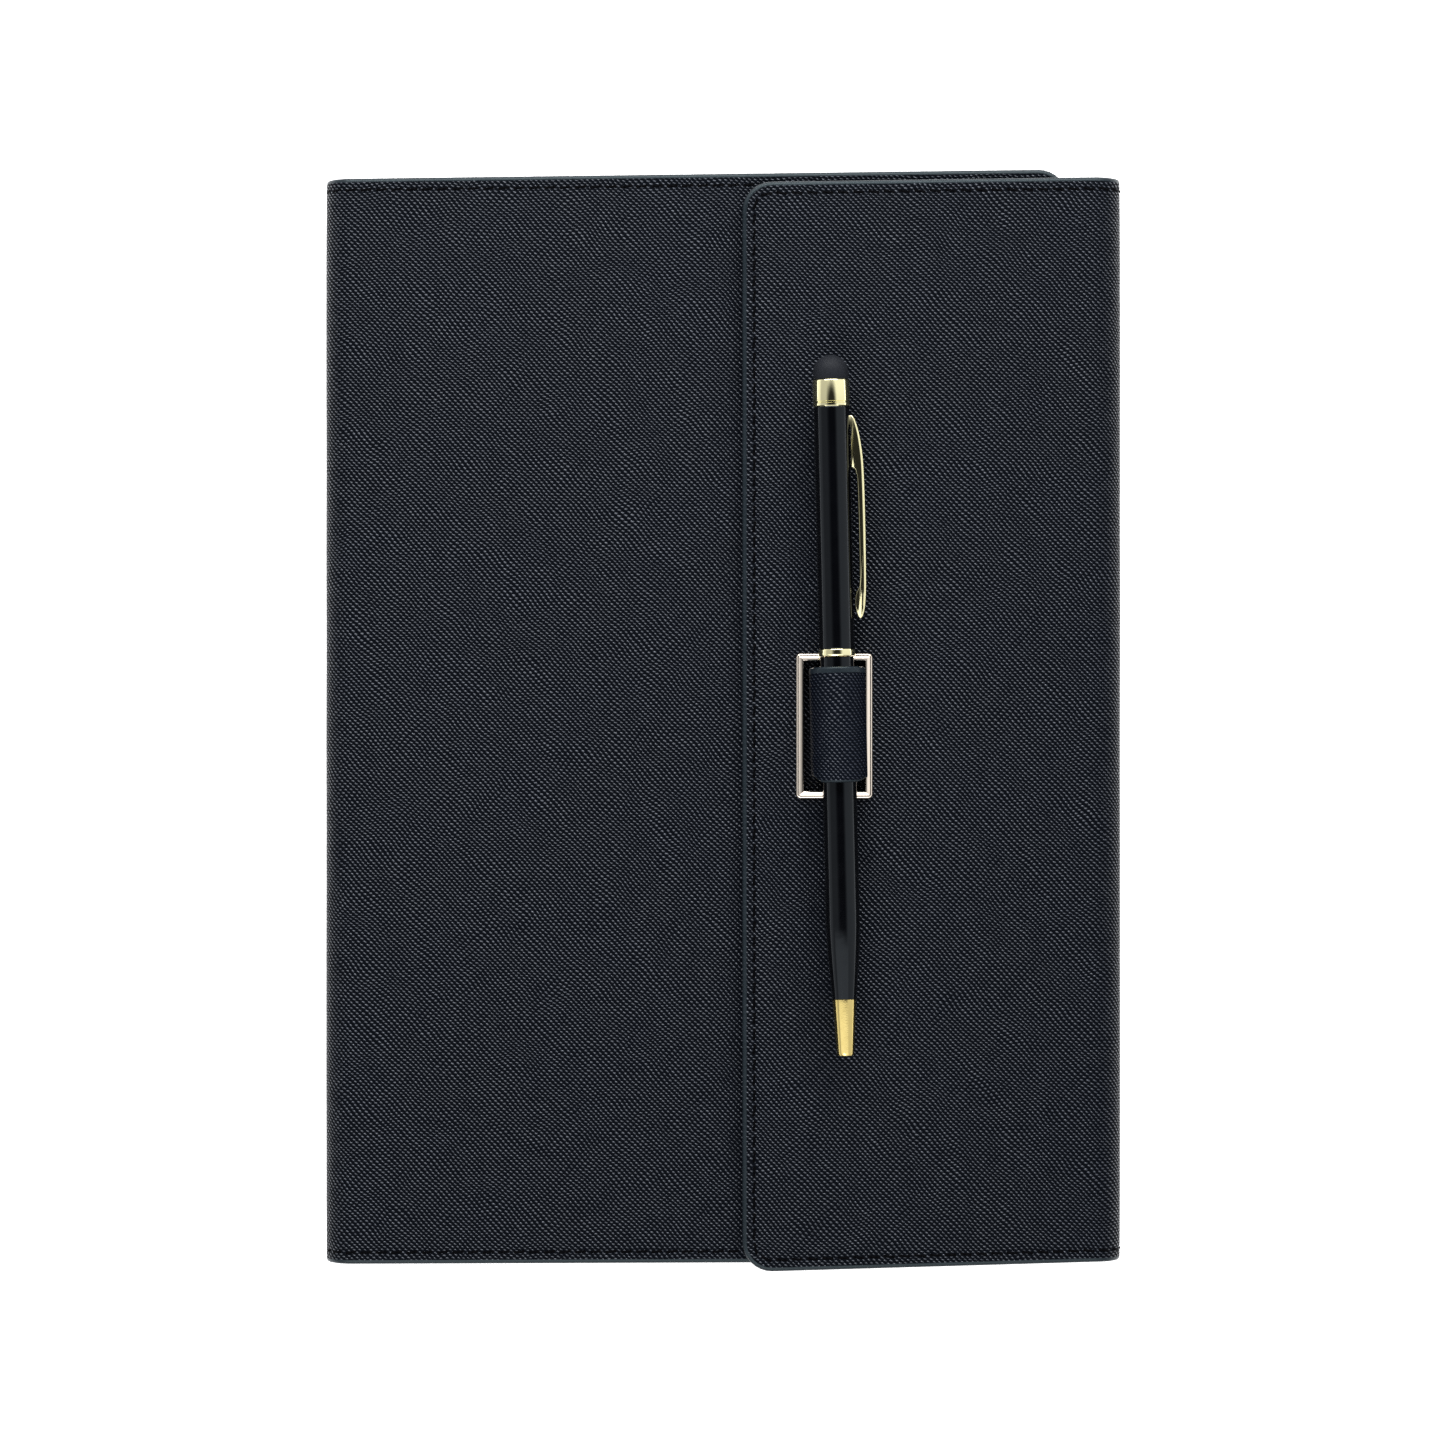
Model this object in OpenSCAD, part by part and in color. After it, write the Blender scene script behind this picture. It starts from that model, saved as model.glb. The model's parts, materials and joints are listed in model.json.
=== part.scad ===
// Leather notebook cover with a fold-over flap, an A5 writing pad and a pen.
// It lies closed on its back: +X to the flap's fold, +Y to the top of the page, +Z up.
// The origin is under the middle of the closed cover, on the surface it lies on.
// Three stiff panels (back, front, flap) and two spines are joined by soft creases.
// The pen runs through a leather loop that comes up through a metal window in the flap.

/* [Cover] */
// Width across the closed cover
cover_w = 161.2; // [160:0.2:168]
// Height of the back panel and both spines
back_h = 219.2; // [218.4:0.2:220]
// Height of the front cover's face above the surface
front_top_z = 22.5; // [22:0.1:25]
// Gap between the front cover and the flap that lies on it
flap_gap = 0.4; // [0.3:0.1:0.8]
// Outer radius of the four creases
crease_r = 5.5; // [5:0.1:5.6]
// Radius of the free corners
corner_r = 6; // [4:0.5:8]
// Where the front cover's free edge lies under the flap
front_free_x = 70; // [66:0.5:72]
// Where the flap's free edge lies on the front cover
flap_free_x = 4; // [2:0.5:6]
// How much the front cover's top edge rises towards its free corner
front_rise = 0.8; // [0:0.1:1.2]
// How much the flap's bottom edge drops towards its free corner
flap_drop = 2.1; // [0:0.1:2.4]

/* [Leather] */
// Thickness of the grained outer leather
skin_t = 1; // [0.8:0.1:1.1]
// Thickness of the stiff board inside each panel
board_t = 1.2; // [1:0.1:1.4]
// Thickness of the smooth lining
lining_t = 0.6; // [0.5:0.1:0.7]
// Thickness of the thin board inside each spine
spine_board_t = 0.8; // [0.6:0.1:1]
// Width of outer leather that is turned over a board's edge
turn_w = 1.6; // [1.2:0.1:2.4]

/* [Pockets] */
// Thickness of a pocket's leather
pocket_t = 0.6; // [0.4:0.1:0.6]
// Width of a card pocket
card_pocket_w = 98; // [92:1:104]
// Height of a card pocket
card_pocket_h = 58; // [54:1:62]
// Step from one card pocket's top edge to the next
card_step = 13; // [10:1:15]
// Width of the slip pocket
slip_pocket_w = 134; // [120:1:140]
// Height of the slip pocket
slip_pocket_h = 88; // [70:1:90]

/* [Notepad] */
// Width of the A5 pad
pad_w = 148; // [140:1:148]
// Height of the A5 pad
pad_h = 210; // [200:1:210]
// Thickness of the pad's cardboard back
card_t = 0.6; // [0.4:0.1:0.7]
// Thickness of the pad's cover sheet
pad_cover_t = 0.5; // [0.3:0.1:0.5]
// How far up the back panel the pad's sleeve reaches
sleeve_top_y = 62; // [40:1:70]

/* [Window frame] */
// Width of the metal frame
frame_w = 15.5; // [15:0.1:16]
// Height of the metal frame
frame_h = 29.4; // [29:0.1:30]
// Width of the window inside the frame
window_w = 12.2; // [12:0.1:12.4]
// Height of the window inside the frame
window_h = 26.2; // [26:0.1:26.4]
// How far the frame stands above the flap
frame_proud = 1.4; // [1:0.1:1.4]

/* [Pen loop] */
// Width of the loop across the pen
loop_w = 11.3; // [11:0.1:11.4]
// Length of the loop along the pen
loop_len = 23.1; // [18:0.1:24]
// Width across the loop's two legs, where they pass through the window
loop_neck_w = 9.6; // [9.2:0.1:9.8]
// Leather thickness of the loop
loop_t = 1.8; // [1.6:0.1:1.8]

/* [Pen] */
// Length of the pen
pen_len = 140.5; // [139:0.5:145]
// Diameter of the upper barrel
pen_d = 7.2; // [7:0.1:7.2]
// Diameter of the lower barrel
lower_d = 6.9; // [6.7:0.1:6.9]
// Diameter of the gold rings and ferrule
ring_d = 7.5; // [7.3:0.1:7.5]
// Angle at which the pen lies in its loop
pen_tilt = 1.26; // [0:0.02:1.3]
// How far the writing tip comes out
nib_travel = 3.2; // [2:0.1:3.4]

/* [Hidden] */
$fn = 64;

navy = [0.09, 0.10, 0.13];
lining_grey = [0.16, 0.17, 0.19];
board_brown = [0.55, 0.46, 0.34];
paper = [0.95, 0.94, 0.90];
pale_gold = [0.86, 0.76, 0.62];
brass = [0.80, 0.66, 0.38];
gloss_black = [0.03, 0.03, 0.035];

half_w = cover_w / 2;
panel_x = half_w - crease_r;
panel_t = skin_t + board_t + lining_t;
crease_t = skin_t + lining_t;
spine_t = skin_t + spine_board_t + lining_t;
flap_top_z = front_top_z + flap_gap + panel_t;
front_under_z = front_top_z - panel_t;
flap_under_z = flap_top_z - panel_t;

// y of each panel's ends, at its crease and at its free edge
front_top_y = [110.2, 110.2 + front_rise];
front_low_y = [-109.7, -109.2];
flap_top_y = [110.1, 109.1];
flap_low_y = [-111 + flap_drop, -111];

// Places of the pockets on the front cover's inside
pockets_x = -4;
card_top_y = 98;
slip_top_y = -14;

// The pad lies between the sleeve and the front cover's pockets
slip_gap = 0.3;
card_z = panel_t + slip_gap;
sleeve_z = card_z + card_t + slip_gap;
sleeve_t = 1;
sleeve_w = pad_w + 4;
sleeve_end = 3;
pages_z = sleeve_z + sleeve_t + slip_gap;
pages_top_z = front_under_z - 3 * pocket_t - 1.5;
binding_t = 0.3;
binding_fold = 12;

// The frame's collar lines the cut edge of the window
frame_at = [22.55, -0.7];
collar_t = 0.6;
collar_w = window_w + 2 * collar_t;
collar_h = window_h + 2 * collar_t;
back_plate_t = 0.5;
prong_d = 0.7;
prong_ys = [-9, 0, 9];
fit = 0.05;

// The pen clears the frame that its loop comes up through
pen_z = flap_top_z + frame_proud + ring_d / 2 + 0.2;
pen_top = [21.6, 73.7, pen_z];
loop_from_top = 74.1;
loop_bore_d = loop_w - 2 * loop_t;
tab_t = 0.7;
tab_w = 7;

// Distances along the pen from its top
dome_end = 5.1;
ferrule_end = 10.5;
middle_start = 59;
middle_end = 60.4;
taper_start = 114;
cone_start = pen_len - 11.4;
cone_r = 2.4;
stem_end = 9;
stem_r = 2.5;
spigot_end = 15;
mechanism_start = 40;
mechanism_end = 66;
refill_start = 44;
refill_end = pen_len - 12.5;
nib_end = pen_len - 0.6;
barrel_bore_d = 5.2;
mechanism_d = 5;
mechanism_bore_d = 3.5;
refill_d = 3.1;
refill_bore_d = 2.2;
nib_d = 2.3;
clip_w = 2.8;
clip_top = 12.1;
clip_slot = [2.2, 3.3];

// ---- helpers ----

// A flat layer from one height to another, with the outline given as a child
module layer(z_a, z_b) {
    translate([0, 0, min(z_a, z_b)]) linear_extrude(abs(z_b - z_a)) children();
}

// Outer leather of a panel whose face is at z_face, turned over the board's edges.
// inward is +1 where the panel's inside is above its face and -1 where it is below.
module turned_skin(z_face, inward) {
    layer(z_face, z_face + inward * skin_t) children();
    layer(z_face + inward * skin_t, z_face + inward * (skin_t + board_t))
        difference() {
            children();
            offset(delta = -turn_w) children();
        }
}

module inner_board(z_face, inward) {
    layer(z_face + inward * skin_t, z_face + inward * (skin_t + board_t))
        offset(delta = -turn_w) children();
}

module inner_lining(z_face, inward) {
    layer(z_face + inward * (skin_t + board_t), z_face + inward * panel_t) children();
}

// Square across the crease end at x, whose height runs from low to high
module crease_end(x, side, low, high) {
    translate([side > 0 ? x - 1 : x, low]) square([1, high - low]);
}

module back_outline() {
    square([2 * panel_x, back_h], center = true);
}

module front_outline() {
    hull() {
        crease_end(-panel_x, -1, front_low_y[0], front_top_y[0]);
        for (y = [front_low_y[1] + corner_r, front_top_y[1] - corner_r])
            translate([front_free_x - corner_r, y]) circle(corner_r);
    }
}

module flap_outline() {
    hull() {
        crease_end(panel_x, 1, flap_low_y[0], flap_top_y[0]);
        for (y = [flap_low_y[1] + corner_r, flap_top_y[1] - corner_r])
            translate([flap_free_x + corner_r, y]) circle(corner_r);
    }
}

// Rectangle at the window's place
module window_rect(w, h) {
    translate(frame_at) square([w, h], center = true);
}

// Small holes or shanks beside the frame's collar
module prong_spots(d) {
    for (side = [-1, 1], y = prong_ys)
        translate(frame_at + [side * (frame_w + collar_w) / 4, y]) circle(d = d);
}

// Quarter tube of leather along Y; x_side and z_side say which corner it rounds
module crease(x_side, z_side, z_face, low_y, high_y) {
    center_z = z_face - z_side * crease_r;
    translate([x_side * panel_x, high_y, center_z]) rotate([90, 0, 0])
        linear_extrude(high_y - low_y) intersection() {
            difference() {
                circle(crease_r);
                circle(crease_r - crease_t);
            }
            translate([x_side > 0 ? 0 : -crease_r, z_side > 0 ? 0 : -crease_r]) square(crease_r);
        }
}

// One upright layer of a spine, between two depths from its outer face
module spine_layer(side, depth_a, depth_b, z_top, trim = 0) {
    translate([side > 0 ? half_w - depth_b : -half_w + depth_a, trim - back_h / 2, crease_r])
        cube([depth_b - depth_a, back_h - 2 * trim, z_top - 2 * crease_r]);
}

module spine_skin(side, z_top) {
    spine_layer(side, 0, skin_t, z_top);
    difference() {
        spine_layer(side, skin_t, skin_t + spine_board_t, z_top);
        spine_layer(side, skin_t - fit, skin_t + spine_board_t + fit, z_top, turn_w);
    }
}

module spine_board(side, z_top) {
    spine_layer(side, skin_t, skin_t + spine_board_t, z_top, turn_w);
}

module spine_lining(side, z_top) {
    spine_layer(side, skin_t + spine_board_t, spine_t, z_top);
}

// Places a shape on the pen: local +Z runs from the pen's top to its tip, local +X to its clip
module on_pen() {
    translate(pen_top) rotate([0, 0, pen_tilt]) rotate([90, 0, 0]) children();
}

module pen_tube(from, to, outer_d, inner_d) {
    on_pen() translate([0, 0, from]) difference() {
        cylinder(d = outer_d, h = to - from);
        translate([0, 0, -1]) cylinder(d = inner_d, h = to - from + 2);
    }
}

// Lathe-turned solid on the pen's axis, from points of [radius, distance from the top]
module pen_turned(points) {
    on_pen() rotate_extrude() polygon(points);
}

// ---- back cover ----

module back_skin() { color(navy) turned_skin(0, 1) back_outline(); }
module back_board() { color(board_brown) inner_board(0, 1) back_outline(); }
module back_lining() { color(lining_grey) inner_lining(0, 1) back_outline(); }
module back_left_crease() { color(navy) crease(-1, -1, 0, -back_h / 2, back_h / 2); }
module back_right_crease() { color(navy) crease(1, -1, 0, -back_h / 2, back_h / 2); }

// Leather sheet that holds the pad's back, with a welt down both sides and along the bottom
module pad_sleeve() {
    low_y = -pad_h / 2 - sleeve_end;
    side_w = (sleeve_w - pad_w) / 2 - slip_gap;
    color(lining_grey) {
        translate([-sleeve_w / 2, low_y, sleeve_z]) cube([sleeve_w, sleeve_top_y - low_y, sleeve_t]);
        translate([0, 0, panel_t]) linear_extrude(sleeve_z - panel_t) {
            for (side = [-1, 1])
                translate([side > 0 ? sleeve_w / 2 - side_w : -sleeve_w / 2, low_y])
                    square([side_w, sleeve_top_y - low_y]);
            translate([-sleeve_w / 2, low_y]) square([sleeve_w, sleeve_end - slip_gap]);
        }
    }
}

// ---- spines ----

module left_spine_skin() { color(navy) spine_skin(-1, front_top_z); }
module left_spine_board() { color(board_brown) spine_board(-1, front_top_z); }
module left_spine_lining() { color(lining_grey) spine_lining(-1, front_top_z); }
module right_spine_skin() { color(navy) spine_skin(1, flap_top_z); }
module right_spine_board() { color(board_brown) spine_board(1, flap_top_z); }
module right_spine_lining() { color(lining_grey) spine_lining(1, flap_top_z); }

// ---- front cover ----

module front_crease() { color(navy) crease(-1, 1, front_top_z, front_low_y[0], front_top_y[0]); }

module front_skin() {
    color(navy) difference() {
        turned_skin(front_top_z, -1) front_outline();
        loop_solid(front_top_z - skin_t - 1, 2 * fit);
    }
}

module front_board() {
    color(board_brown) difference() {
        inner_board(front_top_z, -1) front_outline();
        loop_tabs(tab_t + fit, fit);
    }
}

module front_lining() { color(lining_grey) inner_lining(front_top_z, -1) front_outline(); }

// Flat pocket sheet on the front cover's inside, level steps below the lining
module pocket_sheet(top_y, w, h, level) {
    translate([pockets_x - w / 2, top_y - h, front_under_z - level * pocket_t]) cube([w, h, pocket_t]);
}

// One of the three card pockets, which overlap in steps
module card_pocket(level) {
    pocket_sheet(card_top_y - (level - 1) * card_step, card_pocket_w, card_pocket_h, level);
}

module slip_pocket() { color(lining_grey) pocket_sheet(slip_top_y, slip_pocket_w, slip_pocket_h, 1); }
module card_pocket_upper() { color(lining_grey) card_pocket(1); }
module card_pocket_middle() { color(lining_grey) card_pocket(2); }
module card_pocket_lower() { color(lining_grey) card_pocket(3); }

// Across the pen: a round loop over two legs that stand in the front cover
module loop_section(foot_z, grow) {
    down = pen_z - foot_z;
    difference() {
        union() {
            circle(d = loop_w + 2 * grow);
            translate([-loop_neck_w / 2 - grow, -down]) square([loop_neck_w + 2 * grow, down]);
        }
        if (grow == 0) circle(d = loop_bore_d);
        translate([grow - loop_neck_w / 2 + loop_t, -down - 1])
            square([loop_neck_w - 2 * loop_t - 2 * grow, down + 1]);
    }
}

module loop_solid(foot_z, grow = 0) {
    on_pen() translate([0, 0, loop_from_top - loop_len / 2 - grow])
        linear_extrude(loop_len + 2 * grow) loop_section(foot_z, grow);
}

// The legs' ends turn outwards under the front leather
module loop_tabs(depth, grow = 0) {
    span = loop_neck_w + 2 * tab_w + 2 * grow;
    along = loop_len + 2 * grow;
    on_pen() translate([-span / 2, front_top_z - skin_t - depth - pen_z, loop_from_top - along / 2])
        cube([span, depth, along]);
}

module pen_loop() {
    color(navy) {
        loop_solid(front_top_z - skin_t);
        difference() {
            loop_tabs(tab_t);
            on_pen() translate([0, front_top_z - pen_z, loop_from_top])
                cube([loop_neck_w - 2 * loop_t, 6, loop_len + 2], center = true);
        }
    }
}

// ---- flap ----

module flap_crease() { color(navy) crease(1, 1, flap_top_z, flap_low_y[0], flap_top_y[0]); }

// Opening for the frame's collar, with a hole for each prong
module window_cut() {
    layer(flap_under_z - 1, flap_top_z + 1) {
        window_rect(collar_w + fit, collar_h + fit);
        prong_spots(prong_d);
    }
}

module flap_skin() {
    color(navy) difference() {
        turned_skin(flap_top_z, -1) flap_outline();
        window_cut();
    }
}

module flap_board() {
    color(board_brown) difference() {
        inner_board(flap_top_z, -1) flap_outline();
        window_cut();
    }
}

module flap_lining() {
    color(lining_grey) difference() {
        inner_lining(flap_top_z, -1) flap_outline();
        layer(flap_under_z - 1, flap_top_z + 1) window_rect(frame_w + fit, frame_h + fit);
    }
}

// Flange with a bevelled rim, and a collar that goes down through the flap
module window_frame() {
    bevel = 0.5;
    color(pale_gold) difference() {
        union() {
            layer(flap_top_z, flap_top_z + frame_proud) window_rect(frame_w, frame_h);
            layer(flap_under_z + back_plate_t, flap_top_z) window_rect(collar_w, collar_h);
        }
        layer(flap_under_z - 1, flap_top_z + frame_proud + 1) window_rect(window_w, window_h);
        layer(flap_top_z + frame_proud - bevel, flap_top_z + frame_proud + 1)
            window_rect(window_w + 2 * bevel, window_h + 2 * bevel);
    }
}

module frame_back_plate() {
    color(pale_gold) layer(flap_under_z, flap_under_z + back_plate_t) difference() {
        window_rect(frame_w, frame_h);
        window_rect(window_w, window_h);
    }
}

// Shanks that hold the frame to its back plate
module frame_prongs() {
    color(pale_gold) layer(flap_under_z + back_plate_t, flap_top_z) prong_spots(prong_d);
}

// ---- writing pad ----

module pad_back_card() {
    color(board_brown) translate([-pad_w / 2, -pad_h / 2, card_z]) cube([pad_w, pad_h, card_t]);
}

// Above the sleeve's top edge the sheets lie down on the card
module page_block() {
    pages_end_z = pages_top_z - pad_cover_t;
    step_y = sleeve_top_y + slip_gap;
    color(paper) {
        translate([-pad_w / 2, -pad_h / 2, pages_z]) cube([pad_w, pad_h, pages_end_z - pages_z]);
        translate([-pad_w / 2, step_y, card_z + card_t])
            cube([pad_w, pad_h / 2 - step_y, pages_z - card_z - card_t]);
    }
}

module pad_cover() {
    color(navy) translate([-pad_w / 2, -pad_h / 2, pages_top_z - pad_cover_t])
        cube([pad_w, pad_h, pad_cover_t]);
}

// Tape over the glued top edge, folded onto the cover sheet
module pad_binding() {
    color(gloss_black) {
        translate([-pad_w / 2, pad_h / 2, card_z]) cube([pad_w, binding_t, pages_top_z + binding_t - card_z]);
        translate([-pad_w / 2, pad_h / 2 - binding_fold, pages_top_z])
            cube([pad_w, binding_fold + binding_t, binding_t]);
    }
}

// ---- pen ----

// Rubber dome with a stem that plugs into the ferrule
module stylus_tip() {
    dome_r = 3.55;
    color(gloss_black) on_pen() rotate_extrude() {
        intersection() {
            translate([0, dome_r]) circle(dome_r);
            square([dome_r, dome_r]);
        }
        translate([0, dome_r]) square([dome_r, dome_end - dome_r]);
        translate([0, dome_end]) square([stem_r, stem_end - dome_end]);
    }
}

module stylus_ferrule() {
    spigot_r = barrel_bore_d / 2;
    color(pale_gold) pen_turned([
        [stem_r, dome_end], [ring_d / 2, dome_end], [ring_d / 2, ferrule_end], [spigot_r, ferrule_end],
        [spigot_r, spigot_end], [0, spigot_end], [0, stem_end], [stem_r, stem_end]
    ]);
}

module upper_barrel() {
    color(gloss_black) difference() {
        pen_tube(ferrule_end, middle_start, pen_d, barrel_bore_d);
        on_pen() translate([pen_d / 2, 0, clip_top + clip_slot[0] / 2])
            cube([3, clip_slot[1], clip_slot[0]], center = true);
    }
}

module middle_ring() { color(pale_gold) pen_tube(middle_start, middle_end, ring_d, mechanism_d); }

// Brass sleeve fixed in the upper barrel, on which the lower barrel turns
module twist_mechanism() {
    color(brass) {
        pen_tube(mechanism_start, mechanism_end, mechanism_d, mechanism_bore_d);
        pen_tube(mechanism_start, middle_start, barrel_bore_d, mechanism_d);
    }
}

// Spring clip: an arm and a web from the barrel's top, a long strip, and a leaf-shaped end
module pen_clip() {
    wall = pen_d / 2;
    foot = 0.8;
    color(pale_gold) on_pen() translate([0, clip_w / 2, 0]) rotate([90, 0, 0]) linear_extrude(clip_w)
        difference() {
            polygon([
                [wall - foot, clip_top + 0.3], [wall + 0.3, clip_top], [wall + 1.2, clip_top + 1],
                [wall + 2.2, clip_top + 5.5], [wall + 2.7, clip_top + 12], [wall + 2.7, clip_top + 24],
                [wall + 2.6, clip_top + 36], [wall + 1.9, clip_top + 40], [wall + 1.2, clip_top + 40.9],
                [wall + 0.4, clip_top + 40], [wall + 0.1, clip_top + 37.6], [wall + 0.4, clip_top + 34.6],
                [wall + 1.1, clip_top + 32.4], [wall + 1.2, clip_top + 24], [wall + 1.1, clip_top + 12],
                [wall + 0.8, clip_top + 11.2], [wall + 0.15, clip_top + 10.6], [wall + 0.15, clip_top + 4.6],
                [wall + 0.1, clip_top + 1.6], [wall - foot, clip_top + 1.4]
            ]);
            polygon([[wall + 0.5, clip_top + 1.8], [wall + 1.3, clip_top + 4.2], [wall + 0.5, clip_top + 4.2]]);
        }
}

module lower_barrel() {
    journal_r = barrel_bore_d / 2;
    bore_r = 1.9;
    color(gloss_black) pen_turned([
        [journal_r, middle_end + 0.1], [lower_d / 2, middle_end + 0.1], [lower_d / 2, taper_start],
        [cone_r, cone_start], [bore_r, cone_start], [bore_r, mechanism_end + 4], [journal_r, mechanism_end + 1]
    ]);
}

// Metal cone with a rounded rim round the hole that the writing tip comes out of
module tip_cone() {
    color(brass) pen_turned([
        [1.8, cone_start], [cone_r, cone_start], [1.75, pen_len - 0.3], [1.6, pen_len - 0.05], [1.45, pen_len],
        [1.25, pen_len], [1.25, pen_len - 1.5], [1.4, pen_len - 3], [1.4, cone_start + 4], [1.8, cone_start + 3.4]
    ]);
}

module refill_tube() { color(paper) pen_tube(refill_start, refill_end, refill_d, refill_bore_d); }

module refill_tip() {
    color(brass) pen_turned([
        [0, refill_end - 3], [refill_bore_d / 2, refill_end - 3], [refill_bore_d / 2, refill_end],
        [nib_d / 2, refill_end],
        [nib_d / 2, nib_end - 4], [0.4, nib_end - 0.8], [0.35, nib_end], [0, nib_end]
    ]);
}

back_skin();
back_board();
back_lining();
pad_sleeve();
back_left_crease();
back_right_crease();
left_spine_skin();
left_spine_board();
left_spine_lining();
right_spine_skin();
right_spine_board();
right_spine_lining();
front_crease();
front_skin();
front_board();
front_lining();
slip_pocket();
card_pocket_lower();
card_pocket_middle();
card_pocket_upper();
pen_loop();
flap_crease();
flap_skin();
flap_board();
flap_lining();
window_frame();
frame_back_plate();
frame_prongs();
pad_back_card();
page_block();
pad_cover();
pad_binding();
stylus_tip();
stylus_ferrule();
upper_barrel();
middle_ring();
twist_mechanism();
pen_clip();
lower_barrel();
tip_cone();
refill_tube();
refill_tip();
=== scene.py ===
"""A closed leather notebook cover with its pen: the looks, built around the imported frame, in metres."""
import json
import math
import random

import bmesh
import bpy
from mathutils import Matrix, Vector, noise


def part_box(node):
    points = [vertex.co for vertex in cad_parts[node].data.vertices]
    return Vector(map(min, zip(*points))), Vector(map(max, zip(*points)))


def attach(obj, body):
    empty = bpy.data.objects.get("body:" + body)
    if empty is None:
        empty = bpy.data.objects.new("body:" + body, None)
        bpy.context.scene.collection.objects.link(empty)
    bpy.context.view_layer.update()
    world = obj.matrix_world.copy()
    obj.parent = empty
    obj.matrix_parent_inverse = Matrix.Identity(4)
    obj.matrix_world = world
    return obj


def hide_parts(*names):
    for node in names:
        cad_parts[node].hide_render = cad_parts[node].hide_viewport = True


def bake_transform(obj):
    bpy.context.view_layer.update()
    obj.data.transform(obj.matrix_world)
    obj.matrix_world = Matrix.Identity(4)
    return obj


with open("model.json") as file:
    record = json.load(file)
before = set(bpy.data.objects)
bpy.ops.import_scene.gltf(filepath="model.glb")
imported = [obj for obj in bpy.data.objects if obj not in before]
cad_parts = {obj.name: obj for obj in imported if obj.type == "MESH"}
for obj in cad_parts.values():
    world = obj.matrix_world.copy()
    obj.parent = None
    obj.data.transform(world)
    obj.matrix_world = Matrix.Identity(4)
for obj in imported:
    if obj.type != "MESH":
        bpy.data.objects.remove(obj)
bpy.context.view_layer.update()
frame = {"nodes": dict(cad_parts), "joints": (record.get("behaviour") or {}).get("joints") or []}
joints = {j["name"]: j for j in frame["joints"]}
MM = 0.001
UP = Vector((0, 0, 1))

# ---- sizes, from the frame where it has them ----

HALF_W = -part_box("left_spine_skin")[0].x
CREASE_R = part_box("left_spine_skin")[0].z
PANEL_X = HALF_W - CREASE_R
FRONT_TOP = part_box("front_skin")[1].z
FLAP_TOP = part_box("flap_skin")[1].z
PANEL_T = FRONT_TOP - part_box("front_lining")[0].z
SPINE_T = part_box("left_spine_lining")[1].x + HALF_W
CREASE_T = 2.0 * MM
BACK_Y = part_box("back_skin")[1].y
CORNER_R = 6 * MM

# The leather's mesh: its rows across, its columns along a panel and its corners
ROWS = 34
COLUMN_GAP = 7 * MM
PANEL_START_COLUMNS = (0.5 * MM, 1.1 * MM)
CORNER_STEPS = 8

# The edge's painted margin, the stitch line, the thread and the lining
PAINT_W = 0.85 * MM
STITCH_INSET = 2.4 * MM
STITCH_PITCH = 3.1 * MM
STITCH_LEN = 1.75 * MM
THREAD_R = 0.3 * MM
THREAD_PROUD = 0.15 * MM
THREAD_SIDES = 8
LINING_INSET = 1.25 * MM
LINING_SHEET_T = 0.5 * MM


def smooth_step(low, high, x):
    t = min(1.0, max(0.0, (x - low) / (high - low)))
    return t * t * (3 - 2 * t)


def spread(low, high, count):
    """count numbers from low to high, both included."""
    return [low + (high - low) * i / (count - 1) for i in range(count)]


# ---- the cover's strips ----


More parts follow.
